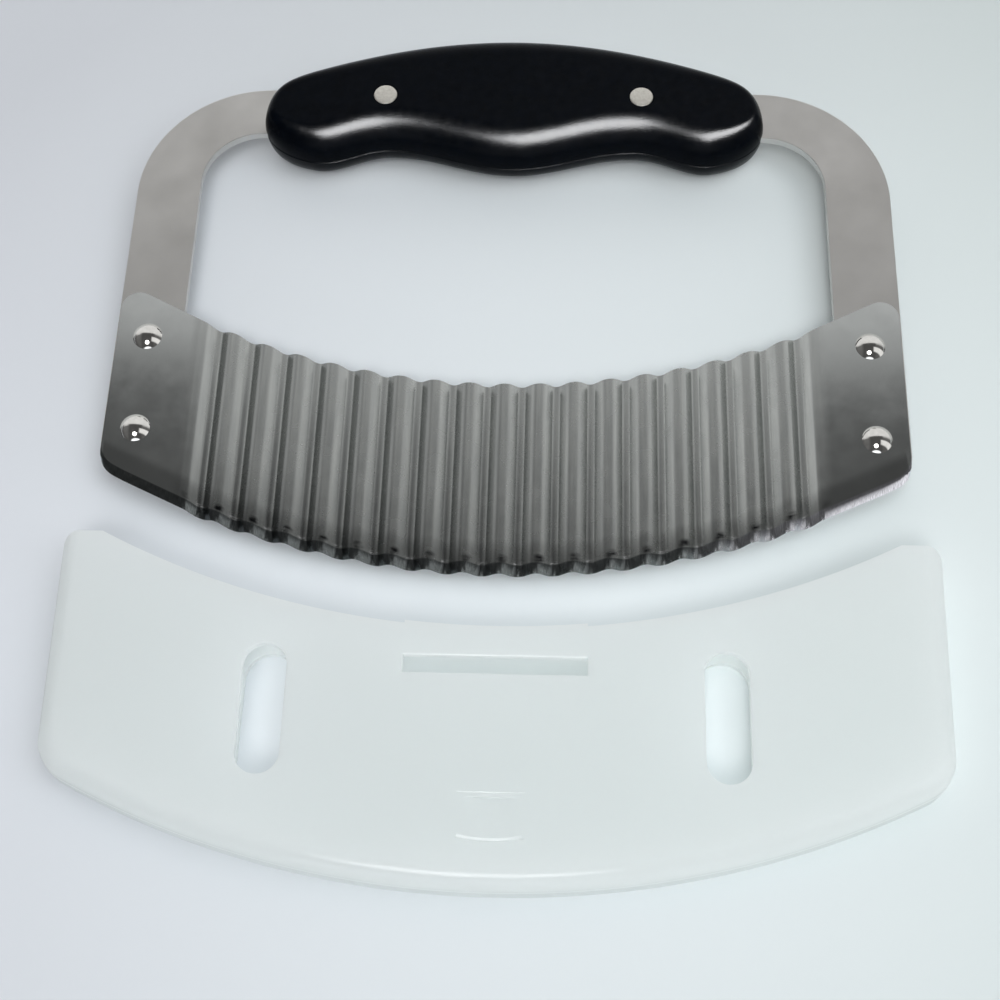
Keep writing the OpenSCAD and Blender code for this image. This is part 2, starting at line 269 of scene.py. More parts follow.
front_rows = draw_out(blade, front_line)
rear_rows = draw_out(blade, rear_line)
for i, (front, rear) in enumerate(sections):
    edge = blend(rear, front, EDGE_LEFT / BLADE_T)
    front_rows[0][i].co = (edge.x, edge_at(edge.x), edge.z)
    rear_rows[0][i].co.y = edge_at(rear.x)
    for row in range(1, ROWS + 1):
        share = (row - 1) / (ROWS - 1)
        front_rows[row][i].co.y = blend(bevel_at(front.x), back_at(front.x), share)
        rear_rows[row][i].co.y = blend(bevel_at(rear.x), back_at(rear.x), share)
rims = [e for e in blade.edges if len(e.link_faces) == 1]
bmesh.ops.bridge_loops(blade, edges=rims)
print("the blade sheet is closed:", all(e.is_manifold for e in blade.edges))

# %% [markdown]
# The finish needs to know where it is on the sheet, not in space: streaks run along each
# wave and stains sit just above the ground edge. So the blade gets a UV map of its own,
# with U counting waves and V in millimetres above the cutting edge.

# %% Map the sheet and place it
sheet_map = blade.loops.layers.uv.new("sheet")
for face in blade.faces:
    for loop in face.loops:
        x, y, _ = loop.vert.co
        loop[sheet_map].uv = (x / PITCH, y - edge_at(x))
blade_piece = finish_piece(blade, "crinkle_blade", LAY_DOWN, "wavy_blade", sharp=30)

# %% [markdown]
# ## Blade rivets
#
# Four dome-headed rivets hold the blade to the legs. Each is a turned shape, so its outline
# is drawn once, from the top of the dome round to the peened tail, and spun about its axis.

# %% Tools for turned pieces
ROUND_STEPS = 48


def cap_arc(bm, start, base_d, height, steps):
    radius = (base_d ** 2 / 4 + height ** 2) / (2 * abs(height))
    side = 1 if height > 0 else -1
    turn = math.asin(base_d / 2 / radius)
    cent = (start.co.x, start.co.y, start.co.z - side * radius)
    bmesh.ops.spin(bm, geom=[start], cent=cent, axis=(0, 1, 0), angle=side * turn, steps=steps)
    bm.verts.ensure_lookup_table()
    return bm.verts[-1]


def line_to(bm, start, x, z):
    made = bmesh.ops.extrude_vert_indiv(bm, verts=[start])
    made["verts"][0].co.x = x
    made["verts"][0].co.z = z
    return made["verts"][0]


def spin_round(bm):
    bmesh.ops.spin(bm, geom=bm.verts[:] + bm.edges[:], cent=(0, 0, 0), axis=(0, 0, 1),
                   angle=2 * math.pi, steps=ROUND_STEPS, use_merge=True)
    bmesh.ops.remove_doubles(bm, verts=bm.verts, dist=0.0005)


print("turned pieces have", ROUND_STEPS, "sides")

# %% Spin the rivets
HEAD_D, HEAD_H, SHANK_D, TAIL_D, TAIL_H = 6.6, 1.6, 3.6, 5.8, 0.8
RIVET_X, RIVET_YS = (BOW_W - LEG_W) / 2, (-70.2, -93.4)


def make_rivet(name, x, y, node):
    bm = bmesh.new()
    top = bm.verts.new((0, 0, BLADE_T + HEAD_H))
    rim = cap_arc(bm, top, HEAD_D, HEAD_H, 14)
    neck = line_to(bm, rim, SHANK_D / 2, BLADE_T)
    end = line_to(bm, neck, SHANK_D / 2, -BOW_T)
    tail_rim = line_to(bm, end, TAIL_D / 2, -BOW_T)
    tail = bm.verts.new((0, 0, -BOW_T - TAIL_H))
    tail_end = cap_arc(bm, tail, TAIL_D, -TAIL_H, 8)
    bmesh.ops.pointmerge(bm, verts=[tail_rim, tail_end], merge_co=tail_rim.co)
    spin_round(bm)
    bmesh.ops.translate(bm, verts=bm.verts, vec=(x, y, 0))
    return finish_piece(bm, name, LAY_DOWN, node, sharp=50)


rivet_pieces = [
    make_rivet(f"dome_rivet_{height}_{side}", turn * RIVET_X, y, f"blade_rivet_{height}_{side}")
    for side, turn in (("left", -1), ("right", 1))
    for height, y in zip(("upper", "lower"), RIVET_YS)]

# %% [markdown]
# ## The grip
#
# Two moulded scales clamp the bow between them. Their outline bows up on top, and below it a
# belly lies between two finger grooves. A circle of points is pulled into that outline, and
# its loop is extruded in small steps that draw in as they rise, along a quarter of an
# ellipse: that is the tall soft shoulder of the real grip. A channel for the bar and bores
# for two pins are then cut out, so the pieces fit together as the real ones do.

# %% Outline of the grip
GRIP_L, GRIP_T, GRIP_RISE, GRIP_BELLY, GROOVE = 120, 16, 13.5, 22.1, 5.1
SHOULDER, END_SHOULDER, END_Y = 7.5, 3.3, -11
CROWN_FALL, TOP_END, LOW_END = 14.9, (23, 0.5), (7, 0.6)
GROOVE_X, LOBE_X = 0.244 * GRIP_L, 0.404 * GRIP_L
SCALE_T = GRIP_T / 2


def closing(x, power, sharp):
    return max(0, 1 - (abs(x) / (GRIP_L / 2)) ** power) ** sharp


def grip_top(x):
    crown = GRIP_RISE - CROWN_FALL * (x / (GRIP_L / 2)) ** 2
    return END_Y + (crown - END_Y) * closing(x, *TOP_END)


def grip_bottom(x):
    near = abs(x) < GROOVE_X
    t = 1 - abs(x) / GROOVE_X if near else (abs(x) - GROOVE_X) / (LOBE_X - GROOVE_X)
    low = -GRIP_BELLY + GROOVE * (1 - (1 - math.cos(math.pi * min(1, t))) / 2)
    return END_Y + (low - END_Y) * closing(x, *LOW_END)


def shoulder_at(x):
    return SHOULDER - (SHOULDER - END_SHOULDER) * (x / (GRIP_L / 2)) ** 4


print("grip is", round(GRIP_RISE + GRIP_BELLY, 1), "mm deep in the middle")

# %% [markdown]
# A cut is a boolean. The piece and its cutter become two short-lived objects, a modifier takes
# one away from the other, and only the result is read back. The boolean hands its points over in
# another order on each run, and later steps depend on it, so they are sorted by place.

# %% A tool for cuts
BORE_L = 60


def in_order(bm):
    for i, v in enumerate(sorted(bm.verts, key=lambda v: tuple(v.co))):
        v.index = i
    bm.verts.sort()
    for parts in (bm.edges, bm.faces):
        for i, part in enumerate(sorted(parts, key=lambda part: sorted(v.index for v in part.verts))):
            part.index = i
        parts.sort()
    return bm


def carve(bm, cutter):
    parts = []
    for part in (bm, cutter):
        bmesh.ops.triangulate(part, faces=part.faces)
        mesh = bpy.data.meshes.new("carving")
        part.to_mesh(mesh)
        part.free()
        parts.append(bpy.data.objects.new("carving", mesh))
        scene.collection.objects.link(parts[-1])
    cut = parts[0].modifiers.new("cut", "BOOLEAN")
    cut.operation, cut.solver, cut.object = "DIFFERENCE", "EXACT", parts[1]
    carved = bmesh.new()
    carved.from_object(parts[0], bpy.context.evaluated_depsgraph_get())
    for part in parts:
        bpy.data.meshes.remove(part.data)
    return in_order(carved)


def box_cutter(low, high):
    bm = bmesh.new()
    bmesh.ops.create_cube(bm, size=1)
    size = Vector(high) - Vector(low)
    bmesh.ops.scale(bm, vec=size, verts=bm.verts)
    bmesh.ops.translate(bm, vec=Vector(low) + size / 2, verts=bm.verts)
    return bm


def bore_cutter(x, y, radius):
    bm = bmesh.new()
    bmesh.ops.create_cone(bm, cap_ends=True, segments=ROUND_STEPS, radius1=radius, radius2=radius,
                          depth=BORE_L)
    bmesh.ops.translate(bm, vec=(x, y, 0), verts=bm.verts)
    return bm


# %% Rings round the grip
OUTLINE_STEPS = 240


def outline_loop(bm):
    made = bmesh.ops.create_circle(bm, segments=OUTLINE_STEPS, radius=1)
    loop = sorted(made["verts"], key=lambda v: (math.atan2(v.co.y, v.co.x) + 0.01) % (2 * math.pi))
    for v in loop:
        x = GRIP_L / 2 * max(-1, min(1, v.co.x))
        v.co = (x, grip_top(x) if v.co.y > 0 else grip_bottom(x), 0)
    return loop


def inward(loop):
    ways = []
    for i, v in enumerate(loop):
        along = loop[(i + 1) % len(loop)].co - loop[i - 1].co
        ways.append(Vector((-along.y, along.x, 0)).normalized() * shoulder_at(v.co.x))
    return ways


def next_ring(bm, ring):
    edges = [e for e in bm.edges if e.is_boundary and e.verts[0] in ring]
    made = bmesh.ops.extrude_edge_only(bm, edges=edges)
    places = {v.co.copy().freeze(): i for i, v in enumerate(ring)}
    new = [part for part in made["geom"] if isinstance(part, bmesh.types.BMVert)]
    return sorted(new, key=lambda v: places[v.co.copy().freeze()])


def close_across(bm, ring):
    for i in range(len(ring) // 2):
        corners = (ring[i], ring[i + 1], ring[-i - 1], ring[-i])
        bm.faces.new(list(dict.fromkeys(corners)))


print("each ring round the grip has", OUTLINE_STEPS, "points")

# %% Mould the two scales
SHOULDER_STEPS, SEAM, FACE_IN, PIN_D, PIN_PITCH = 16, 0.25, 1.05, 5.6, 61
CHANNEL_PLAY, SHEET_PLAY, BORE_PLAY = 0.05, 0.02, 0.03


def make_scale(name, node, front):
    bm = bmesh.new()
    ring = outline_loop(bm)
    start, ways = [v.co.copy() for v in ring], inward(ring)
    turns = [math.pi / 2 * step / SHOULDER_STEPS for step in range(1, SHOULDER_STEPS + 1)]
    profile = [(1 - math.cos(t), SCALE_T * math.sin(t)) for t in turns]
    close_across(bm, ring)
    for v, way in zip(ring, ways):
        v.co += way.normalized() * SEAM
    for share, height in [(0, SEAM)] + profile + [(FACE_IN, SCALE_T)]:
        ring = next_ring(bm, ring)
        for v, place, way in zip(ring, start, ways):
            v.co = place + share * way
            v.co.z = height
    close_across(bm, ring)
    if not front:
        bmesh.ops.scale(bm, vec=(1, 1, -1), verts=bm.verts)
    bmesh.ops.translate(bm, verts=bm.verts, vec=(0, 0, -BOW_T / 2))
    bmesh.ops.recalc_face_normals(bm, faces=bm.faces)
    channel_low = (-GRIP_L, -BAR_W - CHANNEL_PLAY, -BOW_T - SHEET_PLAY)
    channel_high = (GRIP_L, CHANNEL_PLAY, SHEET_PLAY)
    bm = carve(bm, box_cutter(channel_low, channel_high))
    for side in (-1, 1):
        bm = carve(bm, bore_cutter(side * PIN_PITCH / 2, -BAR_W / 2, PIN_D / 2 + BORE_PLAY))
    return finish_piece(bm, name, LAY_DOWN, node, sharp=30)


grip_front = make_scale("grip_scale_front", "handle_scale_front", True)
grip_rear = make_scale("grip_scale_rear", "handle_scale_rear", False)

# %% [markdown]
# ## Grip pins
#
# Two bright pins run right through the grip and are ground flush with it on both faces. They
# are turned pieces like the rivets; the ends are very slightly domed so that they catch light.

# %% Spin the pins
PIN_DOME, PIN_CHAMFER = 0.1, 0.15


def make_pin(name, x, node):
    half = SCALE_T
    bm = bmesh.new()
    top = bm.verts.new((0, 0, half + PIN_DOME))
    rim = cap_arc(bm, top, PIN_D - 2 * PIN_CHAMFER, PIN_DOME, 6)
    side = line_to(bm, rim, PIN_D / 2, half - PIN_CHAMFER)
    foot = line_to(bm, side, PIN_D / 2, PIN_CHAMFER - half)
    low_rim = line_to(bm, foot, PIN_D / 2 - PIN_CHAMFER, -half)
    bottom = bm.verts.new((0, 0, -half - PIN_DOME))
    end = cap_arc(bm, bottom, PIN_D - 2 * PIN_CHAMFER, -PIN_DOME, 6)
    bmesh.ops.pointmerge(bm, verts=[low_rim, end], merge_co=low_rim.co)
    spin_round(bm)
    bmesh.ops.translate(bm, verts=bm.verts, vec=(x, -BAR_W / 2, -BOW_T / 2))
    return finish_piece(bm, name, LAY_DOWN, node, sharp=60)


pin_pieces = [make_pin(f"grip_pin_{side}", turn * PIN_PITCH / 2, f"handle_pin_{side}")
              for side, turn in (("left", -1), ("right", 1))]

# %% [markdown]
# ## The guard
#
# The guard is a thin moulded sleeve, open along its arched mouth. Half of its plan is drawn
# with spins: the closed rim, a rounded corner and the side. It is mirrored, raised to a
# sloping front face, and its outer edge gets a wide rounding. A fine parting line runs round
# the wall, where the two halves of the mould met.

# %% Plan of the guard
WALL, RIM_WALL, RIM_R, GUARD_DEPTH, GUARD_HALF = 1.5, 2, 194, 52, 92.4
DRAFT, CORNER_R, PAST_EARS = 0.8, 9, 24
TOP_0, TOP_SLOPE = 8.47219, math.tan(LIE)


def guard_top(y):
    return TOP_0 + TOP_SLOPE * y


def arc_on(bm, line, cx, cy, angle, steps):
    bmesh.ops.spin(bm, geom=[line[-1]], cent=(cx, cy, 0), axis=(0, 0, 1), angle=angle, steps=steps)
    bm.verts.ensure_lookup_table()
    line.extend(bm.verts[-steps:])


def point_on(bm, line, x, y):
    made = bmesh.ops.extrude_vert_indiv(bm, verts=[line[-1]])
    made["verts"][0].co = (x, y, 0)
    line.append(made["verts"][0])


def mirrored_plan(bm, line):
    bm.faces.new(line)
    bmesh.ops.mirror(bm, geom=bm.verts[:] + bm.edges[:] + bm.faces[:], axis="X", merge_dist=0.001)
    middle = [e for e in bm.edges if all(abs(v.co.x) < 0.001 for v in e.verts)]
    bmesh.ops.dissolve_edges(bm, edges=middle, use_verts=False)
    bmesh.ops.recalc_face_normals(bm, faces=bm.faces)


def sleeve_plan(half, rim_r, corner, rim_y):
    bm = bmesh.new()
    line = [bm.verts.new((0, rim_y, 0))]
    cx = half - DRAFT - corner
    cy = rim_r - math.sqrt((rim_r - corner) ** 2 - cx * cx)
    turn = math.asin(cx / (rim_r - corner))
    arc_on(bm, line, 0, rim_y + rim_r, turn, 48)
    arc_on(bm, line, cx, rim_y + cy, math.pi / 2 - turn, 12)
    point_on(bm, line, half, rim_y + GUARD_DEPTH + PAST_EARS)
    point_on(bm, line, 0, rim_y + GUARD_DEPTH + PAST_EARS)
    mirrored_plan(bm, line)
    return bm


face_heights = [round(guard_top(y), 1) for y in (0, GUARD_DEPTH)]
print("front face of the guard rises from rim to mouth:", face_heights, "mm")

# %% Raise a sleeve and round its front edge
EDGE_ROUND, PARTING_Z, PARTING_H, PARTING_OUT, NEAR = 4, 4.0, 0.22, 0.1, 0.01


def raise_sleeve(bm, foot, below_front, edge_round):
    top = set(raise_sheet(bm, 1))
    for v in bm.verts:
        v.co.z = guard_top(v.co.y) - below_front if v in top else foot
    far = GUARD_DEPTH + PAST_EARS - NEAR
    edges = [e for e in bm.edges if set(e.verts) <= top and min(v.co.y for v in e.verts) < far]
    break_edges(bm, edges, edge_round, 9)


def parting_line(bm):
    for z in (PARTING_Z - PARTING_H, PARTING_Z, PARTING_Z + PARTING_H):
        every = bm.verts[:] + bm.edges[:] + bm.faces[:]
        bmesh.ops.bisect_plane(bm, geom=every, dist=0.0001, plane_co=(0, 0, z), plane_no=(0, 0, 1))
    bm.normal_update()
    for v in bm.verts:
        if abs(v.co.z - PARTING_Z) < NEAR:
            v.co += PARTING_OUT * Vector((v.normal.x, v.normal.y, 0)).normalized()


sleeve = sleeve_plan(GUARD_HALF, RIM_R, CORNER_R, 0)
raise_sleeve(sleeve, 0, 0, EDGE_ROUND)
parting_line(sleeve)
print("sleeve has", len(sleeve.faces), "faces before its cuts")

# %% [markdown]
# The hollow could be built face by face, but thinking like a mould maker is simpler: every
# opening is a solid that a boolean takes away from the sleeve. One boolean leaves slivers
# that spoil the next, so the mesh is cleaned between the cuts. The tab in the middle of the
# mouth stands a little proud, and its hook is a block that is left standing in the pocket.

# %% Cutters for the mouth
MOUTH_R, EAR_H, EAR_R, TAB_W, TAB_RISE, HOOK_H, HOOK_Y = 184, 20, 4, 37.4, 0.6, 0.6, 49.4
HOOK_L, HOOK_IN, TAB_BELOW, TAB_ABOVE = 2, 1, 5, 15
CUT_FROM, CUT_H, CUT_FAR, CUT_PAST, KEEP_TO = -5, 40, 100, 5, 60
SLIVER, NEARLY_FLAT = 0.002, 0.0005


def raise_cutter(bm):
    raise_sheet(bm, CUT_H)
    bmesh.ops.translate(bm, vec=(0, 0, CUT_FROM), verts=bm.verts)
    bmesh.ops.recalc_face_normals(bm, faces=bm.faces)
    return bm


def mouth_cutter(rise):
    bm = bmesh.new()
    line = [bm.verts.new((0, GUARD_DEPTH + rise, 0))]
    turn = math.acos((MOUTH_R - EAR_H + rise) / MOUTH_R)
    arc_on(bm, line, 0, GUARD_DEPTH + rise + MOUTH_R, turn, 48)
    for x, y in ((CUT_FAR, GUARD_DEPTH + EAR_H), (CUT_FAR, CUT_FAR), (0, CUT_FAR)):
        point_on(bm, line, x, y)
    mirrored_plan(bm, line)
    return raise_cutter(bm)


def ear_cutter(side):
    bm = bmesh.new()
    ear_y = GUARD_DEPTH + EAR_H - EAR_R
    line = [bm.verts.new((GUARD_HALF, ear_y, 0))]
    arc_on(bm, line, GUARD_HALF - EAR_R, ear_y, math.pi / 2, 8)
    point_on(bm, line, GUARD_HALF - EAR_R, ear_y + EAR_R + CUT_PAST)
    point_on(bm, line, GUARD_HALF + CUT_PAST, ear_y + EAR_R + CUT_PAST)
    point_on(bm, line, GUARD_HALF + CUT_PAST, ear_y)
    bm.faces.new(line)
    bmesh.ops.scale(bm, vec=(side, 1, 1), verts=bm.verts)
    return raise_cutter(bm)


def clean_up(bm):
    bmesh.ops.remove_doubles(bm, verts=bm.verts, dist=SLIVER)
    bmesh.ops.dissolve_degenerate(bm, dist=SLIVER, edges=bm.edges)
    bmesh.ops.dissolve_limit(bm, angle_limit=NEARLY_FLAT, verts=bm.verts, edges=bm.edges)
    return bm


print("the mouth arches over", 2 * GUARD_HALF, "mm, with ears", EAR_H, "mm high")

# %% Cut the mouth and the pocket
sleeve = carve(sleeve, mouth_cutter(TAB_RISE))
tab_low = (-TAB_W / 2, GUARD_DEPTH - TAB_BELOW, guard_top(GUARD_DEPTH) / 2)
tab_high = (TAB_W / 2, GUARD_DEPTH + TAB_ABOVE, KEEP_TO)
sleeve = carve(sleeve, carve(mouth_cutter(0), box_cutter(tab_low, tab_high)))
for side in (-1, 1):
    sleeve = clean_up(carve(sleeve, ear_cutter(side)))
pocket = sleeve_plan(GUARD_HALF - WALL, RIM_R - RIM_WALL, CORNER_R - WALL, RIM_WALL)
raise_sleeve(pocket, WALL, WALL, EDGE_ROUND - WALL)
hook_low = (HOOK_IN - TAB_W / 2, HOOK_Y, guard_top(HOOK_Y) - WALL - HOOK_H)
hook_high = (TAB_W / 2 - HOOK_IN, HOOK_Y + HOOK_L, KEEP_TO)
sleeve = clean_up(carve(sleeve, carve(pocket, box_cutter(hook_low, hook_high))))
print("hollow sleeve has", len(sleeve.faces), "faces, closed:", all(e.is_manifold for e in sleeve.edges))

# %% [markdown]
# Two slots go right through and are a little wider in the rear wall. The window under the tab
# is in the front wall alone. On the real guard these rims are not quite sharp, and they catch
# the light, so a flared cutter takes a small chamfer off each.

# %% Cut the slots and the window
SLOT_X, SLOT_Y, SLOT_W, SLOT_L, SLOT_STEP = BOW_W * 0.262, 34.5, 9, 27, 2
WINDOW_Y, POCKET_Z = (42.5, 46.2), WALL + 1
RIM_OUT, RIM_DROP = 0.4, 0.2


def slot_cutter(x, width, length, low, high):
    bm = bmesh.new()
    corners = [(-1, -1), (1, -1), (1, 1), (-1, 1)]
    square = [bm.verts.new((x + sx * width / 2, SLOT_Y + sy * length / 2, low)) for sx, sy in corners]
    bm.faces.new(square)
    round_corners(bm, square, width / 2 - NEAR, 12)
    raise_sheet(bm, high - low)
    return bm


def flared(bm, x, y, width, length):
    for v in bm.verts:
        if v.co.z > 0:  # as far above the face as the foot is below it, so twice RIM_OUT
            v.co.x += (v.co.x - x) * 4 * RIM_OUT / width
            v.co.y += (v.co.y - y) * 4 * RIM_OUT / length
        v.co.z += guard_top(v.co.y)
    return bm


for x in (-SLOT_X, SLOT_X):
    sleeve = carve(sleeve, slot_cutter(x, SLOT_W, SLOT_L, POCKET_Z, CUT_H))
    sleeve = carve(sleeve, slot_cutter(x, SLOT_W + SLOT_STEP, SLOT_L + SLOT_STEP, CUT_FROM, POCKET_Z))
    rim = slot_cutter(x, SLOT_W, SLOT_L, -RIM_DROP, RIM_DROP)
    sleeve = clean_up(carve(sleeve, flared(rim, x, SLOT_Y, SLOT_W, SLOT_L)))
sleeve = carve(sleeve, box_cutter((-TAB_W / 2, WINDOW_Y[0], POCKET_Z), (TAB_W / 2, WINDOW_Y[1], CUT_H)))
rim = box_cutter((-TAB_W / 2, WINDOW_Y[0], -RIM_DROP), (TAB_W / 2, WINDOW_Y[1], RIM_DROP))
sleeve = clean_up(carve(sleeve, flared(rim, 0, sum(WINDOW_Y) / 2, TAB_W, WINDOW_Y[1] - WINDOW_Y[0])))
print("guard with its slots has", len(sleeve.faces), "faces")

# %% [markdown]
# A thumb pushes the guard on, so its front has a shallow scoop: a cylinder that dips into the
# face cuts it. Two bent creases bound it, cut by a thin diamond that is spun along an arc. They
# are shallow, and only show because their flanks stay flat-shaded.

# %% Cut the scoop and its creases
SCOOP_W, SCOOP_Y, SCOOP_D, SCOOP_L = 11.8, (8.5, 17.4), 0.8, 20
SCOOP_R = (SCOOP_W ** 2 / 4 + SCOOP_D ** 2) / (2 * SCOOP_D)
CREASE_HALF, CREASES = 6.6, ((18.3, 400, 0.9), (9.0, 30, 1.4))


def scoop_cutter():
    bm = bmesh.new()
    bmesh.ops.create_cone(bm, cap_ends=True, segments=180, radius1=SCOOP_R, radius2=SCOOP_R,
                          depth=SCOOP_L)
    dip = LIE - math.atan(SCOOP_D / (SCOOP_Y[1] - SCOOP_Y[0]))
    place = Matrix.Translation((0, SCOOP_Y[1], guard_top(SCOOP_Y[1]))) @ Matrix.Rotation(dip, 4, "X")
    middle = Matrix.Translation((0, -SCOOP_L / 2, SCOOP_R - SCOOP_D))
    lie_along = Matrix.Rotation(math.pi / 2, 4, "X")
    bmesh.ops.transform(bm, matrix=place @ middle @ lie_along, verts=bm.verts)
    return bm


def crease_cutter(y, bend, width):
    bm = bmesh.new()
    corners = ((y - width / 2, 0), (y, -width / 4), (y + width / 2, 0), (y, width / 4))
    bm.faces.new([bm.verts.new((0, at, guard_top(y) + up)) for at, up in corners])
    centre, turn = Vector((0, y + bend, 0)), CREASE_HALF / bend
    bmesh.ops.rotate(bm, verts=bm.verts, cent=centre, matrix=Matrix.Rotation(-turn, 3, "Z"))
    bmesh.ops.spin(bm, geom=bm.verts[:] + bm.edges[:] + bm.faces[:], cent=centre, axis=(0, 0, 1),
                   angle=2 * turn, steps=16)
    bmesh.ops.recalc_face_normals(bm, faces=bm.faces)
    return bm


sleeve = clean_up(carve(sleeve, scoop_cutter()))
for crease in CREASES:
    sleeve = clean_up(carve(sleeve, crease_cutter(*crease)))
print("carved guard has", len(sleeve.faces), "faces, closed:", all(e.is_manifold for e in sleeve.edges))

# %% Soften the cut edges and place the guard
GUARD_EDGE = 0.25
break_edges(sleeve, steep_edges(sleeve, 60), GUARD_EDGE, 2)
guard_piece = finish_piece(sleeve, "milky_guard", GUARD_PLACE, "blade_guard",
                           body="guard", sharp=20)

# %% [markdown]
# ## Finishes
#
# Every finish starts from a Principled shader. Values that are the same all over are set on
# its sockets; what varies comes from noise in Object coordinates, which are metres here, so
# a scale of 1000 gives features of a millimetre.

# %% Helpers that start and feed a finish
def new_finish(name, **sockets):
    finish = bpy.data.materials.new(name)
    finish.use_nodes = True
    shader = finish.node_tree.nodes["Principled BSDF"]
    for socket, value in sockets.items():
        shader.inputs[socket.replace("_", " ")].default_value = value
    return finish, finish.node_tree, shader


def feed(shader, socket, value):
    shader.id_data.links.new(value, shader.inputs[socket])


def noise(tree, scale, detail=3, stretch=(1, 1, 1), source="Object", roughness=0.5):
    where = tree.nodes.new("ShaderNodeTexCoord")
    fit = tree.nodes.new("ShaderNodeMapping")
    fit.inputs["Scale"].default_value = stretch
    grain = tree.nodes.new("ShaderNodeTexNoise")
    grain.inputs["Scale"].default_value = scale
    grain.inputs["Detail"].default_value = detail
    grain.inputs["Roughness"].default_value = roughness
    tree.links.new(where.outputs[source], fit.inputs["Vector"])
    tree.links.new(fit.outputs["Vector"], grain.inputs["Vector"])
    return grain.outputs["Fac"]


def bump(tree, shader, height, distance, strength=1.0):
    node = tree.nodes.new("ShaderNodeBump")
    node.inputs["Distance"].default_value = distance
    node.inputs["Strength"].default_value = strength
    tree.links.new(height, node.inputs["Height"])
    feed(shader, "Normal", node.outputs["Normal"])


def wear(piece, finish):
    piece.data.materials.clear()
    piece.data.materials.append(finish)
    print(piece.name, "wears", finish.name)


# %% Helpers that turn one value into another
def ramp(tree, value, stops):
    node = tree.nodes.new("ShaderNodeValToRGB")
    while len(node.color_ramp.elements) < len(stops):
        node.color_ramp.elements.new(0.5)
    for element, (place, colour) in zip(node.color_ramp.elements, stops):
        element.position = place
        element.color = (*colour, 1)
    tree.links.new(value, node.inputs["Fac"])
    return node.outputs["Color"]


def span(tree, value, low, high, from_low=0.3, from_high=0.7):
    node = tree.nodes.new("ShaderNodeMapRange")
    limits = {"From Min": from_low, "From Max": from_high, "To Min": low, "To Max": high}
    for socket, number in limits.items():
        node.inputs[socket].default_value = number
    tree.links.new(value, node.inputs["Value"])
    return node.outputs["Result"]


def calc(tree, operation, first, second=None):
    node = tree.nodes.new("ShaderNodeMath")
    node.operation = operation
    for socket, value in zip(node.inputs, (first, second)):
        if isinstance(value, (int, float)):
            socket.default_value = value
        elif value is not None:
            tree.links.new(value, socket)
    return node.outputs["Value"]


def away(tree, value, centre):
    return calc(tree, "ABSOLUTE", calc(tree, "SUBTRACT", value, centre))


def product(tree, first, *others):
    for other in others:
        first = calc(tree, "MULTIPLY", first, other)
    return first


def blend_colours(tree, share, first, second):
    node = tree.nodes.new("ShaderNodeMix")
    node.data_type = "RGBA"
    tree.links.new(share, node.inputs["Factor"])
    for socket, value in zip((s for s in node.inputs if s.type == "RGBA"), (first, second)):
        if isinstance(value, tuple):
            socket.default_value = (*value, 1)
        else:
            tree.links.new(value, socket)
    return next(s for s in node.outputs if s.type == "RGBA")


# %% [markdown]
# The bow is tumbled sheet: grey, evenly matt and a little cloudy. Soft noise in its colour and
# roughness is enough, with a very fine bump to spread the highlights.

# %% Satin steel of the bow
satin, tree, shader = new_finish("satin_steel", Metallic=1.0)
tone = noise(tree, 45, detail=5)
feed(shader, "Base Color", ramp(tree, tone, ((0.3, (0.56, 0.55, 0.53)), (0.6, (0.65, 0.64, 0.62)))))
feed(shader, "Roughness", span(tree, noise(tree, 160, detail=4), 0.34, 0.46))
bump(tree, shader, noise(tree, 2600, detail=2), 0.00001, 0.35)
wear(bow_piece, satin)

# %% [markdown]
# Rolled sheet has faint streaks along the waves. The ground bevel has fine lines across it, and its
# colour
# carries painted reflection: dark over most of its length and bright at its right end. Both are placed
# with the sheet's own map: the wave count tells the tabs from the waves, and the height tells bevel from
# sheet.

# %% Rolled sheet and ground bevel
polish, tree, shader = new_finish("rolled_blade_steel", Metallic=1.0)
where = tree.nodes.new("ShaderNodeUVMap")
where.uv_map = "sheet"
split = tree.nodes.new("ShaderNodeSeparateXYZ")
tree.links.new(where.outputs["UV"], split.inputs["Vector"])
wave, height = split.outputs["X"], split.outputs["Y"]
on_waves = span(tree, calc(tree, "ABSOLUTE", wave), 1, 0, 8.6, 9.3)
streaks = noise(tree, 1.0, detail=4, stretch=(7, 0.05, 1), source="UV")
streaky = ramp(tree, streaks, ((0.3, (0.50, 0.52, 0.51)), (0.7, (0.62, 0.64, 0.62))))
smooth = ramp(tree, noise(tree, 60, detail=4), ((0.3, (0.55, 0.57, 0.56)), (0.7, (0.60, 0.62, 0.61))))
rolled = blend_colours(tree, on_waves, smooth, streaky)
lines = noise(tree, 1.0, detail=5, stretch=(60, 0.9, 1), source="UV", roughness=0.7)
# painted reflection: the bevel is dark over most of its length and bright, a little lavender, at its
# right end
painted_dark_bevel = ramp(tree, lines, (
    (0.35, (0.11, 0.12, 0.12)), (0.55, (0.21, 0.23, 0.23)), (0.7, (0.45, 0.47, 0.47))))
painted_bright_bevel = ramp(tree, lines, ((0.35, (0.55, 0.55, 0.60)), (0.6, (0.9, 0.9, 0.95))))
ground = blend_colours(tree, span(tree, wave, 0, 1, 5, 9.5), painted_dark_bevel, painted_bright_bevel)
bevel = span(tree, height, 1, 0, 2.1, 2.3)
steel = blend_colours(tree, bevel, rolled, ground)
print("clean blade steel takes", len(tree.nodes), "nodes")
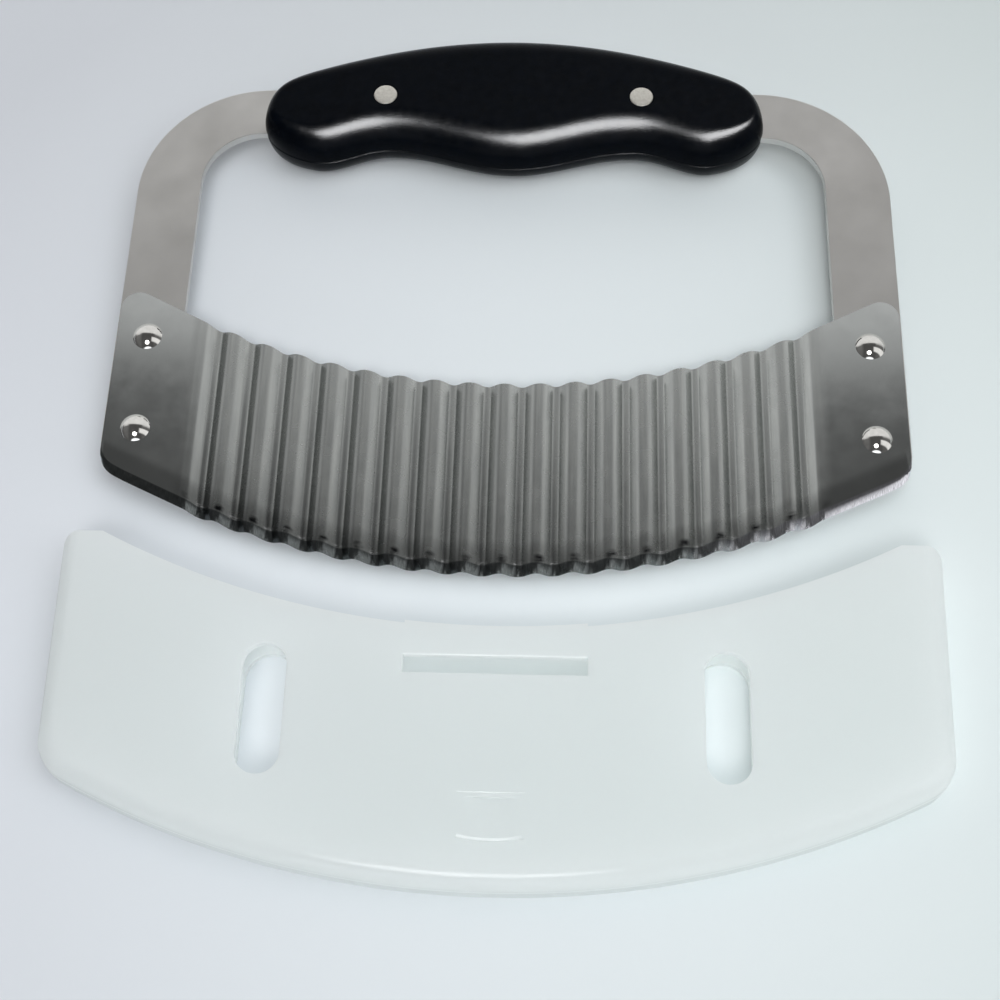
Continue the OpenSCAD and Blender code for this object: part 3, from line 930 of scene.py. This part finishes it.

# %% [markdown]
# Use leaves its marks: juice dries in dark spots above the bevel at the crests. Beside them is painted
# shade:
# a dark line in each valley, and a darker sheet on the left flanks, fading out towards the right, and
# near the cutting edge on the left. Each mark is a product of soft masks, so it fades out by itself.

# %% Stains and painted shade
phase = calc(tree, "FRACT", calc(tree, "ADD", wave, 0.5))  # 0.5 on a crest, 0 and 1 in the valleys
beside_valley = calc(tree, "FRACT", calc(tree, "ADD", wave, 0.55))
patchy = span(tree, noise(tree, 1.0, detail=4, stretch=(3, 1.2, 1), source="UV"), 0.4, 1.0, 0.35, 0.6)
at_crest = span(tree, away(tree, phase, 0.58), 1, 0, 0.06, 0.22)
above_bevel = span(tree, away(tree, height, 3.0), 1, 0, 0.4, 1.5)
spots = product(tree, at_crest, above_bevel, patchy, on_waves)
# painted shade: a dark line in each valley, fading towards the right and up the sheet
deep = span(tree, away(tree, beside_valley, 0.5), 0, 1, 0.39, 0.47)
valley_shade_fades = span(tree, wave, 1, 0.35, 0, 6)
valley_shade = product(tree, deep, span(tree, height, 0.65, 0.1, 3, 40), on_waves, valley_shade_fades)
# painted shade on the left flanks, fading out towards the right
on_flank = span(tree, away(tree, phase, 0.25), 0.36, 0, 0.14, 0.2)
painted_flank_shade = product(tree, on_flank, span(tree, wave, 1, 0, -1, 5), on_waves)
# painted shade: the sheet is darker near the cutting edge, most on the left
painted_edge_shade = product(tree, span(tree, height, 0.32, 0, 2, 18), span(tree, wave, 1, 0.3, -6, 4), on_waves)
shaded = calc(tree, "ADD", painted_flank_shade, painted_edge_shade)
# the real juice spots and the painted shade share one dark colour
stain_and_shade = calc(tree, "MAXIMUM", calc(tree, "MAXIMUM", spots, valley_shade), shaded)
stained_and_shaded = blend_colours(tree, stain_and_shade, steel, (0.03, 0.032, 0.035))
print("worn blade steel takes", len(tree.nodes), "nodes")

# %% [markdown]
# A few bright marks are painted in the valleys just above the bevel. The waves are also a little rougher
# than the tabs, which kept the gloss of the roll.

# %% Bright marks and gloss
# bright marks in the valleys just above the bevel
in_valley = span(tree, away(tree, phase, 0.5), 0, 1, 0.3, 0.45)
on_line = span(tree, away(tree, height, 2.6), 1, 0, 0.15, 0.5)
spotty = span(tree, noise(tree, 1.0, detail=3, stretch=(9, 3, 1), source="UV"), 0, 0.8, 0.45, 0.57)
bright_valley_marks = product(tree, in_valley, on_line, spotty, on_waves)
feed(shader, "Base Color", blend_colours(tree, bright_valley_marks, stained_and_shaded, (0.9, 0.91, 0.92)))
smear = calc(tree, "MULTIPLY", on_waves, 0.16)
feed(shader, "Roughness", calc(tree, "ADD", smear, span(tree, noise(tree, 220, detail=4), 0.08, 0.13)))
bump(tree, shader, noise(tree, 1.0, detail=3, stretch=(70, 0.4, 1), source="UV"), 0.00002, 0.15)
wear(blade_piece, polish)

# %% [markdown]
# The rivet heads are polished, so they mirror the whole room. The pins were ground flush with
# the plastic and stayed pale and matt.

# %% Bright rivets and pale pins
bright, tree, shader = new_finish("bright_rivet_steel", Metallic=1.0)
tone = noise(tree, 900)
feed(shader, "Base Color", ramp(tree, tone, ((0.3, (0.74, 0.73, 0.70)), (0.7, (0.84, 0.83, 0.80)))))
feed(shader, "Roughness", span(tree, noise(tree, 1500), 0.05, 0.12))
for piece in rivet_pieces:
    wear(piece, bright)
pale, tree, shader = new_finish("pale_pin_metal", Metallic=1.0)
tone = noise(tree, 1400, detail=5)
feed(shader, "Base Color", ramp(tree, tone, ((0.3, (0.74, 0.72, 0.66)), (0.7, (0.88, 0.86, 0.80)))))
feed(shader, "Roughness", span(tree, noise(tree, 2200), 0.42, 0.6))
for piece in pin_pieces:
    wear(piece, pale)

# %% [markdown]
# The grip is dense black plastic with a fine moulded grain. Its skin reflects very little, so
# the face stays black under a bright wall, and the grain is a bump of a twentieth of a
# millimetre.

# %% Grained black plastic of the grip
black, tree, shader = new_finish("grained_black_plastic", IOR=1.48, Specular_IOR_Level=0.04)
tone = noise(tree, 300, detail=4)
dark = ramp(tree, tone, ((0.3, (0.0005, 0.0012, 0.0024)), (0.7, (0.001, 0.002, 0.004))))
feed(shader, "Base Color", dark)
feed(shader, "Roughness", span(tree, noise(tree, 500, detail=3), 0.2, 0.26))
bump(tree, shader, noise(tree, 2600, detail=3, roughness=0.6), 0.00005, 0.8)
for piece in (grip_front, grip_rear):
    wear(piece, black)

# %% [markdown]
# Milky plastic lets light through but shows no clear picture behind it. Subsurface scattering
# could do that, but it turns grey in thin walls. A glossy surface mixed with a Translucent
# shader keeps the walls bright, as long as the light may bounce often enough inside them.

# %% Milky plastic of the guard
milky, tree, shader = new_finish("milky_plastic", IOR=1.5, Specular_IOR_Level=1.0)
tone = noise(tree, 18, detail=3)
feed(shader, "Base Color", ramp(tree, tone, ((0.3, (0.965, 0.98, 0.975)), (0.7, (0.975, 0.99, 0.985)))))
feed(shader, "Roughness", span(tree, noise(tree, 120, detail=3), 0.12, 0.17))
bump(tree, shader, noise(tree, 250, detail=2), 0.00002, 0.1)
through = tree.nodes.new("ShaderNodeBsdfTranslucent")
through.inputs["Color"].default_value = (0.98, 0.99, 0.985, 1)
thin = tree.nodes.new("ShaderNodeMixShader")
thin.inputs["Fac"].default_value = 0.65
tree.links.new(shader.outputs["BSDF"], thin.inputs[1])
tree.links.new(through.outputs["BSDF"], thin.inputs[2])
tree.links.new(thin.outputs["Shader"], tree.nodes["Material Output"].inputs["Surface"])
wear(guard_piece, milky)

# %% [markdown]
# ## Table, light and camera
#
# The table is a pale sheet with painted light: brightest in a pool near the guard, painted darker and
# greyer away from it, and tinted bluer on its left side. Colour ramps over its own X and Y are enough
# for that.

# %% Table top
TABLE_HALF, TABLE_DROP = 3, 0.0002
table_mesh = bpy.data.meshes.new("table")
top = bmesh.new()
bmesh.ops.create_grid(top, x_segments=1, y_segments=1, size=TABLE_HALF)
bmesh.ops.translate(top, verts=top.verts, vec=(0, 0, -TABLE_DROP))
top.to_mesh(table_mesh)
top.free()
table = bpy.data.objects.new("table", table_mesh)
scene.collection.objects.link(table)
print("table is", 2 * TABLE_HALF, "m wide")

# %% Pale finish of the table, with painted light
PAINTED_LIGHT_AT, PAINTED_LIGHT_R = Vector((0.02, -0.05)), 0.22


def grey(level, tint=(1, 1, 1)):
    return tuple(level * part for part in tint)


pale_top, tree, shader = new_finish("pale_table_with_painted_light", Roughness=0.6)
place = tree.nodes.new("ShaderNodeTexCoord")
parts = tree.nodes.new("ShaderNodeSeparateXYZ")
tree.links.new(place.outputs["Object"], parts.inputs["Vector"])
squares = [calc(tree, "POWER", calc(tree, "SUBTRACT", parts.outputs[axis], centre), 2)
           for axis, centre in zip("XY", PAINTED_LIGHT_AT)]
distance = calc(tree, "SQRT", calc(tree, "ADD", *squares))
uneven = calc(tree, "ADD", distance, calc(tree, "MULTIPLY", noise(tree, 5, detail=2), 0.02))
# painted light: the table is brightest in a pool near the guard and darker towards its corners
level = ramp(tree, span(tree, uneven, 0, 1, 0, PAINTED_LIGHT_R),
             ((0.1, grey(0.90)), (0.4, grey(0.81)), (1.0, grey(0.64))))
# painted light: the table is tinted bluer on its left side
tint = ramp(tree, span(tree, parts.outputs["X"], 0, 1, -0.12, 0.12),
            ((0.0, (0.98, 1.0, 1.05)), (1.0, (0.935, 1.0, 0.985))))
shade = tree.nodes.new("ShaderNodeVectorMath")
shade.operation = "MULTIPLY"
tree.links.new(level, shade.inputs[0])
tree.links.new(tint, shade.inputs[1])
feed(shader, "Base Color", shade.outputs["Vector"])
wear(table, pale_top)

# %% [markdown]
# Metal shows the room more than it shows a lamp, so the room is painted into the world. Ramps
# over the direction give a bright front wall, a dim ceiling, a bright back wall, and a wall on
# either side that is seen mostly in a band at the back. That is what shades every wave of the
# blade from light to dark. A round lamp and a soft panel give the rivets their bright spots.

# %% Walls of the room
COOL = (0.97, 1.0, 1.05)
room = bpy.data.worlds.new("room")
scene.world = room
room.use_nodes = True
tree = room.node_tree
where = tree.nodes.new("ShaderNodeTexCoord")
split = tree.nodes.new("ShaderNodeSeparateXYZ")
tree.links.new(where.outputs["Generated"], split.inputs["Vector"])
across, backward, upward = [span(tree, split.outputs[axis], 0, 1, -1, 1) for axis in "XYZ"]
walls = ramp(tree, backward, (
    (0.05, grey(1.5, COOL)), (0.07, grey(0.08)), (0.655, grey(0.08)),
    (0.68, grey(0.12)), (0.70, grey(0.12)), (0.713, grey(0.19)),
    (0.724, grey(0.58)), (0.74, grey(0.72)), (0.766, grey(0.8))))
right_wall = ramp(tree, across, ((0.74, grey(0)), (0.82, grey(0.37)), (1.0, grey(0.44))))
left_wall = ramp(tree, across, ((0.12, grey(0.6)), (0.22, grey(0))))
above_sill = ramp(tree, upward, ((0.56, grey(0.2)), (0.66, grey(1))))
beside = ramp(tree, backward, (
    (0.4, grey(0.1)), (0.63, grey(0.15)), (0.655, grey(0.25)),
    (0.69, grey(0.9)), (0.70, grey(1)), (0.74, grey(0))))
print("the room's walls take", len(tree.nodes), "nodes")

# %% Lamp and panel of the room
LAMP_WAY = Vector((-0.07, -0.57, 0.82)).normalized()
LAMP_LEVEL, PANEL_LEVEL = 7.0, 0.8


def vector_calc(operation, *values):
    node = tree.nodes.new("ShaderNodeVectorMath")
    node.operation = operation
    for socket, value in zip(node.inputs, values):
        tree.links.new(value, socket)
    return node.outputs["Vector"]


panel_across = ramp(tree, across, ((0.66, grey(0)), (0.72, grey(1))))
panel_back = ramp(tree, backward, ((0.26, grey(0)), (0.32, grey(1)), (0.5, grey(1)), (0.54, grey(0))))
panel = product(tree, panel_across, panel_back, PANEL_LEVEL)
off_lamp = tree.nodes.new("ShaderNodeVectorMath")
off_lamp.operation = "DISTANCE"
tree.links.new(where.outputs["Generated"], off_lamp.inputs[0])
off_lamp.inputs[1].default_value = LAMP_WAY
lamp = span(tree, off_lamp.outputs["Value"], LAMP_LEVEL, 0, 0.16, 0.23)
lit_walls = vector_calc("ADD", walls, calc(tree, "ADD", panel, lamp))
side_walls = vector_calc("MULTIPLY_ADD", left_wall, above_sill, right_wall)
background = tree.nodes["Background"]
tree.links.new(vector_calc("MULTIPLY_ADD", side_walls, beside, lit_walls), background.inputs["Color"])
background.inputs["Strength"].default_value = 1.0
print("the whole room takes", len(tree.nodes), "nodes")

# %% [markdown]
# A painted room lights softly from everywhere, so a wide cool lamp above adds the shadows under
# the bow and the grip. It stays out of reflections, where it would hide the walls. The black
# grip hardly reflects the room, so it has a lamp of its own, to the front right, that draws the
# broken highlight along its lower shoulder.

# %% Lamps
def hang_lamp(name, energy, place, way):
    lamp = bpy.data.objects.new(name, bpy.data.lights.new(name, "AREA"))
    lamp.data.energy = energy
    lamp.location = place
    lamp.rotation_euler = way.to_track_quat("-Z", "Y").to_euler()
    scene.collection.objects.link(lamp)
    return lamp


SOFT_WAY = Vector((-0.3, 0.15, -0.92)).normalized()
soft_lamp = hang_lamp("soft_lamp", energy=5.05, place=-0.9 * SOFT_WAY, way=SOFT_WAY)
soft_lamp.data.shape = "DISK"
soft_lamp.data.size = 1.26
soft_lamp.data.color = (0.93, 1.0, 1.05)
soft_lamp.visible_glossy = False
GRIP_AT = Vector((0, 0.08, 0.014))
STRIP_WAY = Vector((-0.3, 0.37, -0.87)).normalized()
strip_lamp = hang_lamp("strip_lamp", energy=370, place=GRIP_AT - STRIP_WAY, way=STRIP_WAY)
strip_lamp.data.shape = "RECTANGLE"
strip_lamp.data.size = 1.0
strip_lamp.data.size_y = 0.56
strip_lamp.visible_diffuse = False
grip_only = bpy.data.collections.new("grip_only")
for piece in (grip_front, grip_rear):
    grip_only.objects.link(piece)
strip_lamp.light_linking.receiver_collection = grip_only
print("lamps:", soft_lamp.name, strip_lamp.name)

# %% [markdown]
# The camera is held by hand over the guard and tilted a little. It looks at a point on the
# table, and a turn about its own axis gives the tilt. More bounces than usual are allowed,
# because light crosses the milky walls many times before it leaves them.

# %% Camera
CAMERA_AT, LOOK_AT = Vector((0.010936, -0.169998, 0.308456)), Vector((-0.000462, -0.016671, 0))
TILT, SENSOR_MM, LENS_MM = math.radians(-2.8008), 36, 56.5324
lens = bpy.data.cameras.new("camera")
lens.sensor_width = SENSOR_MM
lens.lens = LENS_MM
lens.clip_start = 0.01
camera = bpy.data.objects.new("camera", lens)
aim = (LOOK_AT - CAMERA_AT).to_track_quat("-Z", "Y").to_matrix().to_4x4()
camera.matrix_world = Matrix.Translation(CAMERA_AT) @ aim @ Matrix.Rotation(TILT, 4, "Z")
scene.collection.objects.link(camera)
scene.camera = camera
scene.view_settings.view_transform = "Standard"
scene.cycles.max_bounces = 24
scene.cycles.diffuse_bounces = 16
scene.cycles.transmission_bounces = 16
print("camera is", round((LOOK_AT - CAMERA_AT).length, 3), "m from the table")
